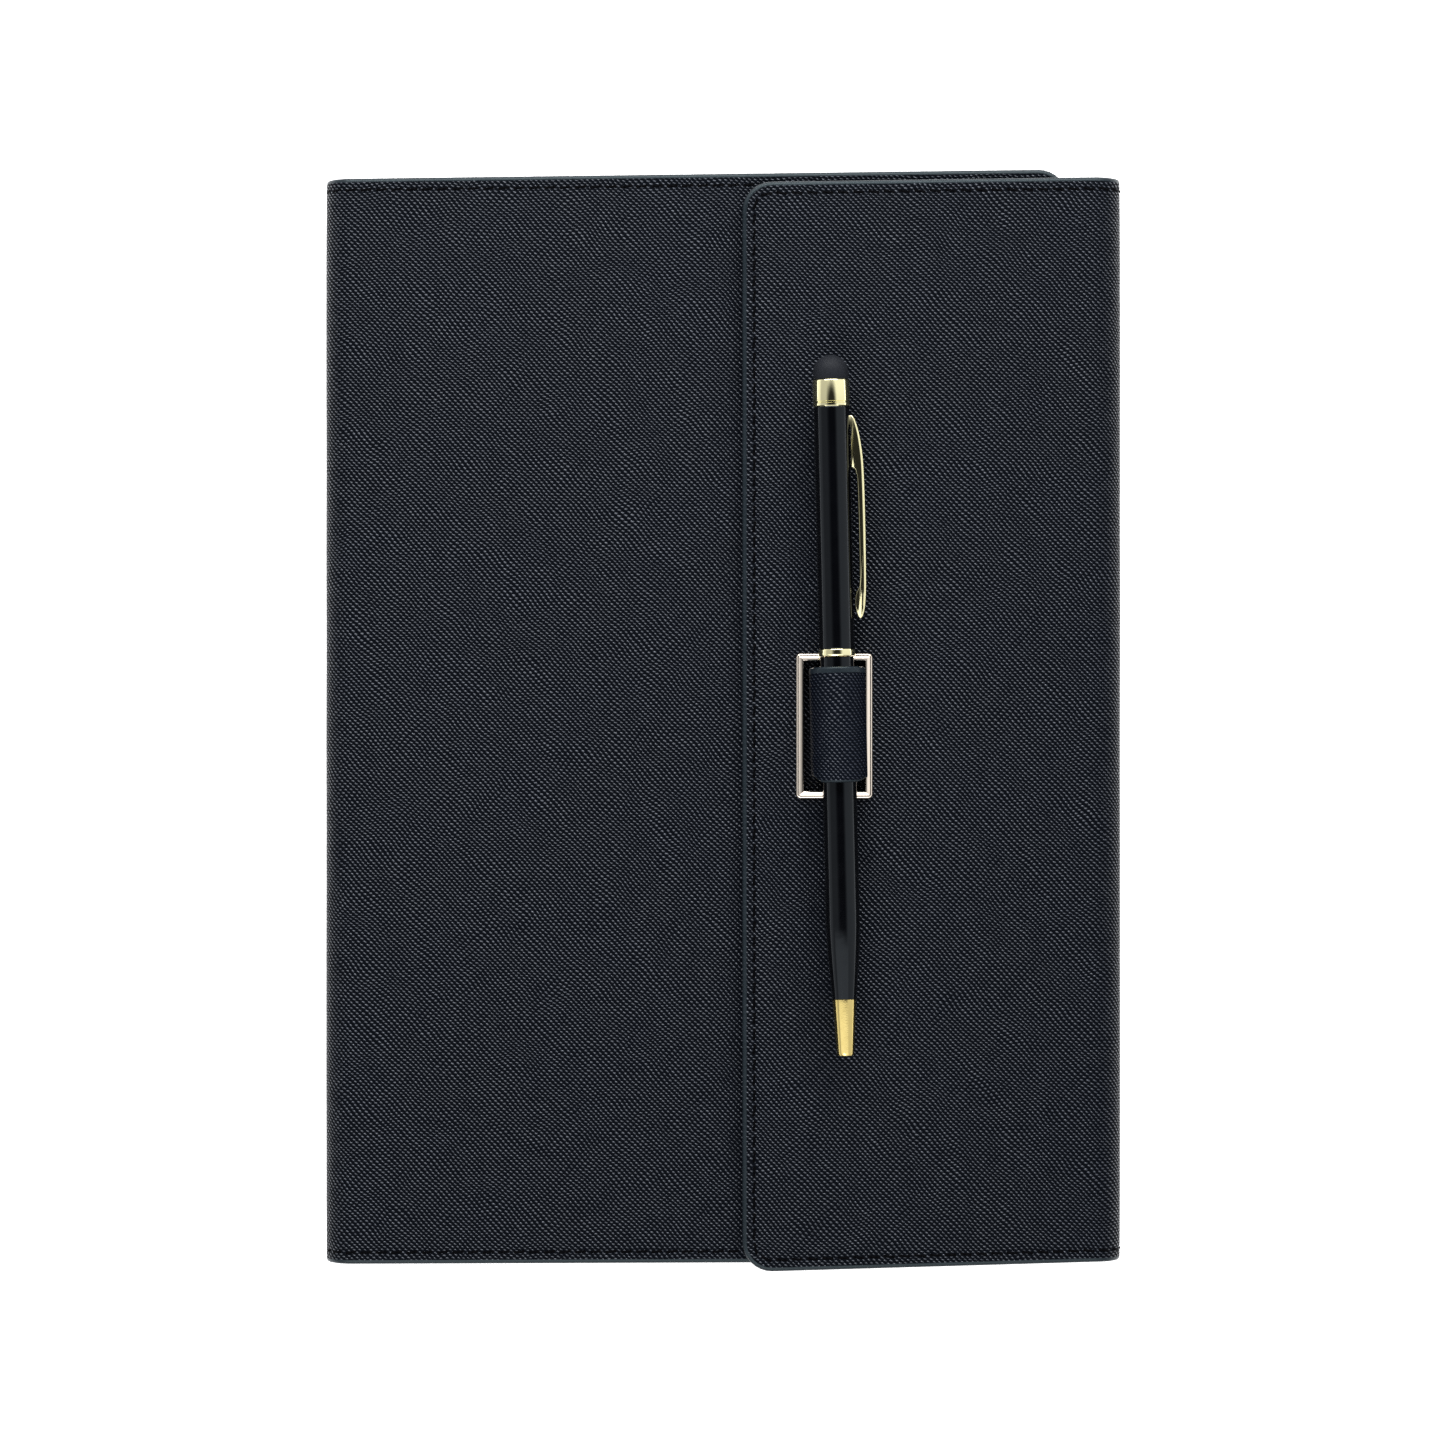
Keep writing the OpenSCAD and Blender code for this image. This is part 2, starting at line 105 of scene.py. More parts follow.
class Wing:
    """Half a spine, a crease and a panel as one strip of leather.

    s runs along the outer face from the middle of the spine towards the panel's far end, y runs along the
    fold, and depth runs inwards from the outer face. low and high are the strip's ends in y, each as a pair:
    at the crease and far from it.
    """

    def __init__(self, name, side, up, face_z, spine_top, far_x, low, high, spine, panel):
        self.name, self.side, self.up, self.face_z = name, side, up, face_z
        self.low, self.high = low, high
        self.spine_body, self.panel_body = spine, panel
        self.free = panel != "back_cover"
        self.mid_z = spine_top / 2
        self.spine = abs(face_z - up * CREASE_R - self.mid_z)
        self.arc = CREASE_R * math.pi / 2
        self.panel = PANEL_X - side * far_x
        self.length = self.spine + self.arc + self.panel
        self.back_length = self.mid_z - CREASE_R + self.arc + PANEL_X
        self.corner_s = self.length - (CORNER_R if self.free else 0)
        flat = self.spine + self.arc
        steps = max(4, round((self.corner_s - flat) / COLUMN_GAP))
        first, second = PANEL_START_COLUMNS
        self.columns = (
            spread(0, self.spine, 4)[:-1]
            + spread(self.spine, flat, 13)
            + [flat + first]
            + spread(flat + second, self.corner_s, steps)
        )

    def ends(self, s):
        """The strip's lowest and highest y at s."""
        t = max(0.0, (s - self.spine - self.arc) / self.panel)
        return (
            self.low[0] + (self.low[1] - self.low[0]) * t,
            self.high[0] + (self.high[1] - self.high[0]) * t,
        )

    def thickness(self, s):
        """Thin where the leather creases, thick where it holds a board."""
        into_crease = smooth_step(self.spine - 1.5 * MM, self.spine + 1.5 * MM, s)
        into_panel = smooth_step(self.spine + self.arc - 2 * MM, self.spine + self.arc + 1 * MM, s)
        return SPINE_T + (CREASE_T - SPINE_T) * into_crease + (PANEL_T - CREASE_T) * into_panel

    def place(self, s, y, depth):
        """The point in space at s, y and depth."""
        if s < self.spine:
            return Vector((self.side * (HALF_W - depth), y, self.mid_z + self.up * s))
        turn = min((s - self.spine) / CREASE_R, math.pi / 2)
        beyond = max(0.0, s - self.spine - self.arc)
        r = CREASE_R - depth
        x = PANEL_X + r * math.cos(turn) - beyond
        z = self.face_z - self.up * (CREASE_R - r * math.sin(turn))
        return Vector((self.side * x, y, z))

    def grain(self, s):
        """Distance along the unrolled cover from the back's middle, so that the grain crosses the joins."""
        return self.side * (self.back_length + s if self.up > 0 else self.back_length - s)

    def edge_runs(self, inset, columns=None, rows=ROWS):
        """The lines that lie inset from the strip's edge, as lists of (s, y)."""
        columns = columns or self.columns
        bottom = [(s, self.ends(s)[0] + inset) for s in columns]
        top = [(s, self.ends(s)[1] - inset) for s in columns]
        if not self.free:
            return [bottom, top]
        centre_s = self.corner_s
        low_y = self.ends(centre_s)[0] + CORNER_R
        high_y = self.ends(centre_s)[1] - CORNER_R
        r = CORNER_R - inset
        quarter = spread(0, math.pi / 2, CORNER_STEPS + 1)[1:]
        low_corner = [(centre_s + r * math.sin(a), low_y - r * math.cos(a)) for a in quarter]
        side = [(centre_s + r, y) for y in spread(low_y, high_y, rows)[1:-1]]
        high_corner = [(centre_s + r * math.sin(a), high_y + r * math.cos(a)) for a in quarter[::-1]]
        return [bottom + low_corner + side + high_corner + top[::-1]]

    def join(self, obj):
        """Bakes obj's placement into its mesh."""
        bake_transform(obj)


def crease_ys(node):
    low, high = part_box(node)
    return low.y, high.y


# The leather's edges aren't quite square to the creases: how far they have moved at the panel's far end
FRONT_LOW_RISE = 0.5 * MM
FRONT_TOP_RISE = 1.1 * MM
FLAP_TOP_DROP = 1.0 * MM
front_low, front_high = crease_ys("front_crease")
flap_low, flap_high = crease_ys("flap_crease")
front_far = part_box("front_skin")[1]
flap_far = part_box("flap_skin")[0]
WINGS = {
    "front": Wing(
        "front", -1, 1, FRONT_TOP, FRONT_TOP, front_far.x,
        (front_low, front_low + FRONT_LOW_RISE), (front_high, front_far.y + FRONT_TOP_RISE),
        "left_spine", "front_cover",
    ),
    "flap": Wing(
        "flap", 1, 1, FLAP_TOP, FLAP_TOP, flap_far.x,
        (flap_low, flap_far.y), (flap_high, flap_high - FLAP_TOP_DROP),
        "right_spine", "flap",
    ),
    "back_left": Wing(
        "back_left", -1, -1, 0.0, FRONT_TOP, 0.0, (front_low, -BACK_Y), (front_high, BACK_Y),
        "left_spine", "back_cover",
    ),
    "back_right": Wing(
        "back_right", 1, -1, 0.0, FLAP_TOP, 0.0, (flap_low, -BACK_Y), (flap_high, BACK_Y),
        "right_spine", "back_cover",
    ),
}


# ---- materials ----


class Nodes:
    """A node tree, with short calls for arithmetic on its values."""

    def __init__(self, tree):
        self.tree = tree

    def node(self, kind, **settings):
        made = self.tree.nodes.new(kind)
        for key, value in settings.items():
            setattr(made, key, value)
        return made

    def link(self, source, target):
        self.tree.links.new(source, target)

    def feed(self, target, value):
        if isinstance(value, bpy.types.NodeSocket):
            self.link(value, target)
        else:
            target.default_value = value

    def math(self, operation, a, b=0.0):
        made = self.node("ShaderNodeMath", operation=operation)
        self.feed(made.inputs[0], a)
        self.feed(made.inputs[1], b)
        return made.outputs[0]

    def remap(self, value, low, high, to_low, to_high, easing="LINEAR"):
        made = self.node("ShaderNodeMapRange", interpolation_type=easing)
        for socket, number in zip(made.inputs, (value, low, high, to_low, to_high)):
            self.feed(socket, number)
        return made.outputs[0]


class Shader(Nodes):
    """A material, with short calls for the nodes that these materials use."""

    def __init__(self, name):
        self.material = bpy.data.materials.new(name)
        self.material.use_nodes = True
        super().__init__(self.material.node_tree)
        self.bsdf = self.tree.nodes["Principled BSDF"]

    def mix(self, share, low, high):
        """A colour between low and high, each a tuple or a socket."""
        made = self.node("ShaderNodeMix", data_type="RGBA")
        self.feed(made.inputs["Factor"], share)
        for socket, value in ((made.inputs[6], low), (made.inputs[7], high)):
            self.feed(socket, (*value, 1.0) if isinstance(value, tuple) else value)
        return made.outputs[2]

    def noise(self, coordinates, scale, detail=2.0, roughness=0.5):
        """A noise of about scale features to each unit of coordinates."""
        made = self.node("ShaderNodeTexNoise")
        self.link(coordinates, made.inputs["Vector"])
        made.inputs["Scale"].default_value = scale
        made.inputs["Detail"].default_value = detail
        made.inputs["Roughness"].default_value = roughness
        return made

    def in_mm(self, coordinates):
        scaled = self.node("ShaderNodeVectorMath", operation="SCALE")
        self.link(coordinates, scaled.inputs[0])
        scaled.inputs["Scale"].default_value = 1 / MM
        return scaled.outputs[0]

    def object_mm(self):
        """Object coordinates in millimetres."""
        return self.in_mm(self.node("ShaderNodeTexCoord").outputs["Object"])

    def grain_mm(self):
        """Coordinates on the unrolled leather in millimetres."""
        return self.in_mm(self.node("ShaderNodeUVMap", uv_map="grain").outputs[0])

    def shift(self, coordinates, by, amount):
        """coordinates moved by a noise colour, up to about amount."""
        centred = self.node("ShaderNodeVectorMath", operation="SUBTRACT")
        self.link(by.outputs["Color"], centred.inputs[0])
        centred.inputs[1].default_value = (0.5, 0.5, 0.5)
        moved = self.node("ShaderNodeVectorMath", operation="MULTIPLY_ADD")
        self.link(centred.outputs[0], moved.inputs[0])
        moved.inputs[1].default_value = (amount, amount, 0)
        self.link(coordinates, moved.inputs[2])
        return moved.outputs[0]

    def bump(self, height, distance):
        made = self.node("ShaderNodeBump")
        made.inputs["Strength"].default_value = 1.0
        made.inputs["Distance"].default_value = distance
        self.link(height, made.inputs["Height"])
        self.link(made.outputs[0], self.bsdf.inputs["Normal"])

    def surface(self, **values):
        """Sets the shader's own sockets, with underscores for the spaces in their names."""
        for key, value in values.items():
            socket = self.bsdf.inputs[key.replace("_", " ")]
            if isinstance(value, tuple) and len(value) == 3:
                value = (*value, 1.0)
            self.feed(socket, value)
        return self.material


def saffiano(name, dark, light, relief=0.15 * MM, gloss=0.74):
    """Cross-hatched leather: small oblong grains in slanted and level rows, uneven as a pressed hide is."""
    m = Shader(name)
    flat = m.grain_mm()
    # The hide's stretch pushes the rows about, by a lot over a centimetre and a little over a millimetre
    wavy = m.shift(flat, m.noise(flat, 0.11, 1.0), 1.9)
    wavy = m.shift(wavy, m.noise(flat, 0.9, 1.0), 0.2)
    xyz = m.node("ShaderNodeSeparateXYZ")
    m.link(wavy, xyz.inputs[0])
    rows_per_mm = 0.885

    def ridge(across, narrow):
        wave = m.math("COSINE", m.math("MULTIPLY", across, 2 * math.pi * rows_per_mm))
        return m.math("POWER", m.remap(wave, -1, 1, 0, 1), narrow)

    # The slanted and the level rows, and a grain where they cross: their shares of the height
    slanted_share, level_share, grain_share = 0.36, 0.24, 0.54
    along, up = xyz.outputs[:2]
    slanted = ridge(m.math("SUBTRACT", along, up), 1.6)
    level = ridge(m.math("ADD", up, up), 1.0)
    lines = m.math("ADD", m.math("MULTIPLY", slanted, slanted_share), m.math("MULTIPLY", level, level_share))
    grains = m.math("MULTIPLY", m.math("MULTIPLY", slanted, level), grain_share)
    patches = m.remap(m.noise(flat, 0.35).outputs["Fac"], 0.3, 0.7, 0.86, 1.04)
    height = m.math("MULTIPLY", m.math("ADD", lines, grains), patches)
    pores = m.math("MULTIPLY", m.noise(flat, 7.0).outputs["Fac"], 0.12)
    height = m.math("ADD", height, pores)
    m.bump(height, relief)
    # Painted shade: the base colour goes from the leather's navy on the grain's ridges to near black in its
    # hollows, and the hollows reflect less as well
    share = m.remap(height, 0.35, 1.0, 0.0, 1.0)
    tint = m.remap(m.noise(flat, 0.05).outputs["Fac"], 0.35, 0.65, 0.0, 1.0)
    bluish = tuple(c * f for c, f in zip(light, (0.9, 0.98, 1.15)))
    return m.surface(
        Base_Color=m.mix(share, dark, m.mix(tint, light, bluish)),
        Roughness=m.remap(height, 0.15, 0.6, 0.62, 0.33),
        Specular_IOR_Level=m.remap(height, 0.48, 0.98, 0.03, gloss),
        Specular_Tint=(0.86, 0.91, 1.0),
    )


def fine_leather(name, dark, light, roughness):
    """Smooth leather with a faint pebbled grain, for linings and pockets."""
    m = Shader(name)
    spots = m.object_mm()
    cells = m.node("ShaderNodeTexVoronoi", feature="SMOOTH_F1")
    m.link(spots, cells.inputs["Vector"])
    cells.inputs["Scale"].default_value = 1.6
    pores = m.math("MULTIPLY", m.noise(spots, 5.0).outputs["Fac"], 0.4)
    height = m.math("ADD", cells.outputs["Distance"], pores)
    m.bump(height, 0.04 * MM)
    wear = m.remap(m.noise(spots, 0.07, 3.0).outputs["Fac"], 0.3, 0.7, 0.0, 1.0)
    return m.surface(
        Base_Color=m.mix(wear, dark, light),
        Roughness=m.remap(height, 0.2, 1.2, roughness - 0.06, roughness + 0.08),
        Specular_IOR_Level=0.3,
    )


def edge_paint(name):
    """Edge dye: smooth and a little glossy, with slow unevenness from the brush."""
    m = Shader(name)
    spots = m.object_mm()
    soft = m.noise(spots, 0.6).outputs["Fac"]
    m.bump(soft, 0.02 * MM)
    return m.surface(
        Base_Color=m.mix(soft, (0.004, 0.0065, 0.0095), (0.007, 0.0105, 0.0145)),
        Roughness=m.remap(soft, 0.2, 0.8, 0.34, 0.44),
        Specular_IOR_Level=0.25,
        Specular_Tint=(0.8, 0.97, 1.0),
    )


def thread(name):
    """Waxed black thread, a little fibrous."""
    m = Shader(name)
    spots = m.object_mm()
    strands = m.noise(spots, 6.0).outputs["Fac"]
    m.bump(strands, 0.05 * MM)
    return m.surface(
        Base_Color=m.mix(strands, (0.0006, 0.0006, 0.0009), (0.0016, 0.0016, 0.0022)),
        Roughness=m.remap(strands, 0.2, 0.8, 0.6, 0.8),
        Specular_IOR_Level=0.02,
    )


def polished_metal(name, tone, shade, roughness):
    """Plated metal: nearly a mirror, with faint polishing marks."""
    m = Shader(name)
    spots = m.object_mm()
    marks = m.noise(spots, 0.8, 3.0).outputs["Fac"]
    m.bump(m.noise(spots, 3.0, 3.0).outputs["Fac"], 0.004 * MM)
    return m.surface(
        Base_Color=m.mix(marks, tone, shade),
        Metallic=1.0,
        Roughness=m.remap(marks, 0.3, 0.7, roughness, roughness + 0.05),
    )


def lacquer(name):
    """Black gloss lacquer with a slight orange peel."""
    m = Shader(name)
    spots = m.object_mm()
    peel = m.noise(spots, 0.35).outputs["Fac"]
    m.bump(peel, 0.01 * MM)
    return m.surface(
        Base_Color=m.mix(peel, (0.0008, 0.0009, 0.0013), (0.0013, 0.0014, 0.002)),
        Roughness=m.remap(peel, 0.3, 0.7, 0.08, 0.13),
        Specular_IOR_Level=0.27,
        Specular_Tint=(0.82, 0.92, 1.0),
    )


def matte(name, dark, light, roughness, scale=1.2, relief=0.02 * MM, specular=0.35):
    """Any matte stuff with a fine uneven surface: rubber, card, tape or plastic."""
    m = Shader(name)
    spots = m.object_mm()
    speckle = m.noise(spots, scale, 4.0, 0.6).outputs["Fac"]
    m.bump(speckle, relief)
    return m.surface(
        Base_Color=m.mix(m.remap(speckle, 0.3, 0.7, 0, 1), dark, light),
        Roughness=m.remap(speckle, 0.3, 0.7, roughness, min(1.0, roughness + 0.1)),
        Specular_IOR_Level=specular,
    )


def paper(name):
    """Stacked sheets: fine lines along the pad's edges."""
    m = Shader(name)
    spots = m.object_mm()
    stretched = m.node("ShaderNodeVectorMath", operation="MULTIPLY")
    m.link(spots, stretched.inputs[0])
    stretched.inputs[1].default_value = (0.04, 0.04, 9.0)
    lines = m.noise(stretched.outputs[0], 1.0, 3.0, 0.7).outputs["Fac"]
    m.bump(lines, 0.05 * MM)
    return m.surface(
        Base_Color=m.mix(m.remap(lines, 0.35, 0.65, 0, 1), (0.62, 0.6, 0.54), (0.86, 0.85, 0.8)),
        Roughness=m.remap(lines, 0.3, 0.7, 0.75, 0.9),
    )


NAVY = saffiano("navy_saffiano", (0.0009, 0.0014, 0.0027), (0.007, 0.0093, 0.0143))
LOOP_NAVY = saffiano("loop_saffiano", (0.0012, 0.0019, 0.004), (0.006, 0.0085, 0.015), 0.13 * MM, 0.52)
PAINT = edge_paint("edge_paint")
LINING = fine_leather("lining_leather", (0.009, 0.011, 0.016), (0.017, 0.02, 0.027), 0.58)
POCKET = fine_leather("pocket_leather", (0.012, 0.014, 0.02), (0.021, 0.024, 0.032), 0.5)
THREAD = thread("black_thread")
FRAME_GOLD = polished_metal("frame_gold", (0.96, 0.86, 0.74), (0.93, 0.81, 0.68), 0.05)
PEN_GOLD = polished_metal("pen_gold", (0.92, 0.87, 0.54), (0.88, 0.81, 0.46), 0.045)
CONE_GOLD = polished_metal("cone_gold", (0.68, 0.54, 0.21), (0.63, 0.49, 0.17), 0.06)
LACQUER = lacquer("black_lacquer")
RUBBER = matte("stylus_rubber", (0.004, 0.005, 0.0075), (0.006, 0.0072, 0.0105), 0.6, specular=0.16)
BOARD = matte("grey_board", (0.3, 0.26, 0.2), (0.42, 0.36, 0.28), 0.85, 0.8)
PAD_CARD = matte("pad_card", (0.36, 0.31, 0.25), (0.46, 0.41, 0.33), 0.85, 0.8)
PAD_COVER = matte("pad_cover_card", (0.028, 0.032, 0.042), (0.045, 0.05, 0.062), 0.75, 1.5)
TAPE = matte("binding_tape", (0.01, 0.01, 0.012), (0.02, 0.02, 0.023), 0.65, 3.0)
PAPER = paper("paper_sheets")
BRASS = polished_metal("brass", (0.8, 0.64, 0.34), (0.7, 0.54, 0.28), 0.25)
REFILL = matte("refill_plastic", (0.6, 0.6, 0.56), (0.7, 0.7, 0.66), 0.4)


# ---- mesh helpers ----


def finish_mesh(name, bm, materials, sharp_deg=38, merge=1e-6):
    """Turns a bmesh into a shown object, smooth but for its sharp edges."""
    bmesh.ops.remove_doubles(bm, verts=bm.verts, dist=merge)
    loose = [v for v in bm.verts if not v.link_faces]
    bmesh.ops.delete(bm, geom=loose, context="VERTS")
    bmesh.ops.recalc_face_normals(bm, faces=bm.faces)
    mesh = bpy.data.meshes.new(name)
    bm.to_mesh(mesh)
    bm.free()
    for face in mesh.polygons:
        face.use_smooth = True
    mesh.set_sharp_from_angle(angle=math.radians(sharp_deg))
    for material in materials:
        mesh.materials.append(material)
    obj = bpy.data.objects.new(name, mesh)
    bpy.context.scene.collection.objects.link(obj)
    return obj


def bridge(bm, ring_a, ring_b, closed=False, material=0):
    """Quads between two rings of as many points, or triangles where two of them are the same."""
    count = len(ring_a)
    for i in range(count if closed else count - 1):
        j = (i + 1) % count
        distinct = list(dict.fromkeys([ring_a[i], ring_a[j], ring_b[j], ring_b[i]]))
        if len(distinct) > 2:
            bm.faces.new(distinct).material_index = material


def solid(bm, rings):
    """Joins closed rings of points one after another, with a flat end on the first and the last."""
    for a, b in zip(rings, rings[1:]):
        bridge(bm, a, b, closed=True)
    for ring in (rings[0], rings[-1]):
        bm.faces.new(ring)


def circle(sides):
    """The angles of as many points round a circle."""
    return [2 * math.pi * k / sides for k in range(sides)]


def fill_holes(bm):
    bmesh.ops.remove_doubles(bm, verts=bm.verts, dist=1e-6)
    rim = [e for e in bm.edges if e.is_boundary]
    bmesh.ops.holes_fill(bm, edges=rim, sides=0)


def grain_layers(bm):
    """Layers for each point's place on the unrolled leather."""
    return [bm.verts.layers.float.new(n) for n in ("u", "v")]


def lay_grain(bm, layers):
    """Makes the UV map that the grain follows."""
    uv = bm.loops.layers.uv.new("grain")
    for face in bm.faces:
        for loop in face.loops:
            loop[uv].uv = [loop.vert[layer] for layer in layers]


def set_material(node, material):
    """Gives a CAD node its material and leaves its shape."""
    materials = frame["nodes"][node].data.materials
    materials.clear()
    materials.append(material)


def bake_modifiers(obj):
    graph = bpy.context.evaluated_depsgraph_get()
    mesh = bpy.data.meshes.new_from_object(obj.evaluated_get(graph))
    obj.modifiers.clear()
    old = obj.data
    obj.data = mesh
    bpy.data.meshes.remove(old)
    mesh.name = obj.name


def cut_box(obj, low, high):
    """Cuts a box out of obj."""
    bm = bmesh.new()
    bmesh.ops.create_cube(bm, size=1)
    size = Vector(high) - Vector(low)
    for v in bm.verts:
        v.co = Vector(low) + Vector([(c + 0.5) * d for c, d in zip(v.co, size)])
    bm.loops.layers.uv.new("grain")
    cutter = finish_mesh("cutter", bm, [])
    step = obj.modifiers.new("cut", "BOOLEAN")
    step.operation, step.object, step.solver = "DIFFERENCE", cutter, "EXACT"
    bpy.context.view_layer.update()
    bake_modifiers(obj)
    obj.data.set_sharp_from_angle(angle=math.radians(38))
    bpy.data.objects.remove(cutter)


def refined(node, name, material, bevel, segments):
    """A copy of a CAD node's shape with rounded edges, which stands for the node."""
    bm = bmesh.new()
    bm.from_mesh(frame["nodes"][node].data)
    bmesh.ops.remove_doubles(bm, verts=bm.verts, dist=1e-6)
    bmesh.ops.dissolve_limit(bm, angle_limit=math.radians(1), verts=bm.verts, edges=bm.edges)
    obj = finish_mesh(name, bm, [material], 30)
    step = obj.modifiers.new("round", "BEVEL")
    step.width, step.segments, step.limit_method = bevel, segments, "ANGLE"
    step.angle_limit = math.radians(30)
    bpy.context.view_layer.update()
    bake_modifiers(obj)
    obj.data.set_sharp_from_angle(angle=math.radians(40))
    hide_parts(node)
    return obj


# ---- leather shells ----


def strip_shell(name, wing, profile, materials, relief=None):
    """A closed sheet over a wing.

    profile lists (inset, share of thickness, extra depth, material) from one face, round the edge, to the
    other. relief(s, y) is how far the field of the last face stands out.
    """
    bm = bmesh.new()
    layers = grain_layers(bm)

    def vertex(s, y, depth):
        v = bm.verts.new(wing.place(s, y, depth))
        v[layers[0]], v[layers[1]] = wing.grain(s), y
        return v

    rings = []
    for inset, share, extra, _ in profile:
        runs = wing.edge_runs(inset)
        rings.append([
            [vertex(s, y, share * wing.thickness(s) + extra) for s, y in run] for run in runs
        ])
    for ring_a, ring_b, (_, _, _, material) in zip(rings, rings[1:], profile):
        for run_a, run_b in zip(ring_a, ring_b):
            bridge(bm, run_a, run_b, material=material)

    for (inset, share, extra, _), stands in ((profile[0], None), (profile[-1], relief)):
        columns = []
        for s in wing.columns:
            low, high = wing.ends(s)
            column = []
            for j, y in enumerate(spread(low + inset, high - inset, ROWS)):
                out = stands(s, y) if stands and 0 < j < ROWS - 1 else 0
                column.append(vertex(s, y, share * wing.thickness(s) + extra - out))
            columns.append(column)
        for a, b in zip(columns, columns[1:]):
            bridge(bm, a, b)
    fill_holes(bm)
    lay_grain(bm, layers)
    return finish_mesh(name, bm, materials)


def field_relief(wing):
    """A free panel's face stands a hair proud of the stitched margin, and isn't quite flat."""
    if not wing.free:
        return None
    proud = uneven = 0.05 * MM
    ramp = 9 * MM
    waves_per_m = 45

    def relief(s, y):
        low, high = wing.ends(s)
        inside = min(y - low, high - y, wing.length - s) - CORNER_R
        wave = noise.noise(Vector((wing.grain(s) * waves_per_m, y * waves_per_m, 3)))
        return smooth_step(0, ramp, inside) * (proud + uneven * wave)

    return relief


def outer_leather(wing):
    """The grained face with its painted edge, turned round the board and the lining's rim."""
    under_lining = -LINING_SHEET_T - 0.02 * MM
    groove = 0.06 * MM
    profile = [
        (CORNER_R, 1, under_lining, 1),
        (LINING_INSET, 1, under_lining, 1),
        (LINING_INSET, 1, 0, 1),
        (PAINT_W, 1, 0, 1),
        (0.45 * MM, 1, -0.07 * MM, 1),
        (0.14 * MM, 1, -0.34 * MM, 1),
        (0, 1, -0.8 * MM, 1),
        (0, 0, 0.8 * MM, 1),
        (0.08 * MM, 0, 0.42 * MM, 1),
        (0.26 * MM, 0, 0.17 * MM, 1),
        (0.52 * MM, 0, 0.05 * MM, 1),
        (PAINT_W, 0, 0.01 * MM, 0),
        (STITCH_INSET - 0.6 * MM, 0, 0.0, 0),
        (STITCH_INSET - 0.3 * MM, 0, 0.02 * MM, 0),
        (STITCH_INSET - 0.1 * MM, 0, groove, 0),
        (STITCH_INSET + 0.1 * MM, 0, groove, 0),
        (STITCH_INSET + 0.3 * MM, 0, 0.02 * MM, 0),
        (STITCH_INSET + 0.9 * MM, 0, -0.02 * MM, 0),
        (CORNER_R, 0, -0.03 * MM, 0),
    ]
    if not wing.free:
        # The back's face lies on the table, so nothing on it stands out
        profile = [
            (inset, share, extra if share else max(extra, 0.0), material)
            for inset, share, extra, material in profile
        ]
    obj = strip_shell(f"{wing.name}_leather", wing, profile, [NAVY, PAINT], field_relief(wing))
    return obj


def inner_lining(wing):
    """The lining lies in the outer leather's turned rim."""
    start = LINING_INSET + 0.03 * MM
    profile = [
        (CORNER_R, 1, -LINING_SHEET_T, 0),
        (start, 1, -LINING_SHEET_T, 0),
        (start, 1, -0.14 * MM, 0),
        (LINING_INSET + 0.14 * MM, 1, -0.03 * MM, 0),
        (LINING_INSET + 0.4 * MM, 1, 0.0, 0),
        (CORNER_R, 1, 0.0, 0),
    ]
    obj = strip_shell(f"{wing.name}_lining_sheet", wing, profile, [LINING])
    return obj


def walk(points, pitch):
    """Places and directions every pitch along a line of points."""
    gaps = [(b - a).length for a, b in zip(points, points[1:])]
    count = int(sum(gaps) / pitch)
    start = (sum(gaps) - count * pitch) / 2 + pitch / 2
    found, i, gone = [], 0, 0.0
    for k in range(count):
        at = start + k * pitch
        while i < len(gaps) - 1 and gone + gaps[i] < at:
            gone += gaps[i]
            i += 1
        step = (points[i + 1] - points[i]) / gaps[i]
        found.append((points[i] + step * (at - gone), step))
    return found


def add_stitch(bm, wing, middle, tangent, length):
    """A run of thread that stands a little out of the leather and narrows quickly at its ends."""
    across = Vector((-tangent.y, tangent.x))
    rings = []
    for t in spread(-1, 1, 7):
        end_taper = max(0.12, math.sqrt(max(0.0, 1 - abs(t) ** 9)))
        r = THREAD_R * (0.88 + 0.3 * t * t) * end_taper
        centre = middle + tangent * (t * length / 2)
        depth = r - THREAD_PROUD * (1 - t * t)
        ring = []
        for a in circle(THREAD_SIDES):
            p = centre + across * (r * math.cos(a))
            ring.append(bm.verts.new(wing.place(p.x, p.y, depth - r * math.sin(a))))
        rings.append(ring)
    solid(bm, rings)


def add_needle_hole_shade(bm, wing, centre):
    """A small black lump, nearly flush with the leather, where the thread goes in: the thread's own black
    and painted shade in the needle hole, as (radius, depth) rings.
    """
    rings = []
    for r, depth in ((0.12 * MM, -0.03 * MM), (0.34 * MM, 0.01 * MM), (0.2 * MM, 0.06 * MM)):
        rings.append([
            bm.verts.new(wing.place(centre.x + r * math.cos(a), centre.y + r * math.sin(a), depth))
            for a in circle(THREAD_SIDES)
        ])
    solid(bm, rings)


def stitch_row(name, wing, seed):
    """Sunken stitches along the strip's edge, each a short slanted run of thread."""
    draw = random.Random(seed)
    bm = bmesh.new()
    for run in wing.edge_runs(STITCH_INSET, columns=spread(0, wing.corner_s, 120), rows=80):
        for at, along in walk([Vector(p) for p in run], STITCH_PITCH):
            slant = math.radians(7 + draw.uniform(-3, 3))
            tangent = Vector((
                along.x * math.cos(slant) - along.y * math.sin(slant),
                along.x * math.sin(slant) + along.y * math.cos(slant),
            ))
            length = STITCH_LEN * draw.uniform(0.94, 1.04)
            add_stitch(bm, wing, at, tangent, length)
            # Painted shade: a black lump at each end of the stitch stands for the needle hole's shade
            for end in (-1, 1):
                add_needle_hole_shade(bm, wing, at + tangent * (end * (length / 2 - 0.05 * MM)))
    obj = finish_mesh(name, bm, [THREAD], 80, merge=1e-8)
    return obj


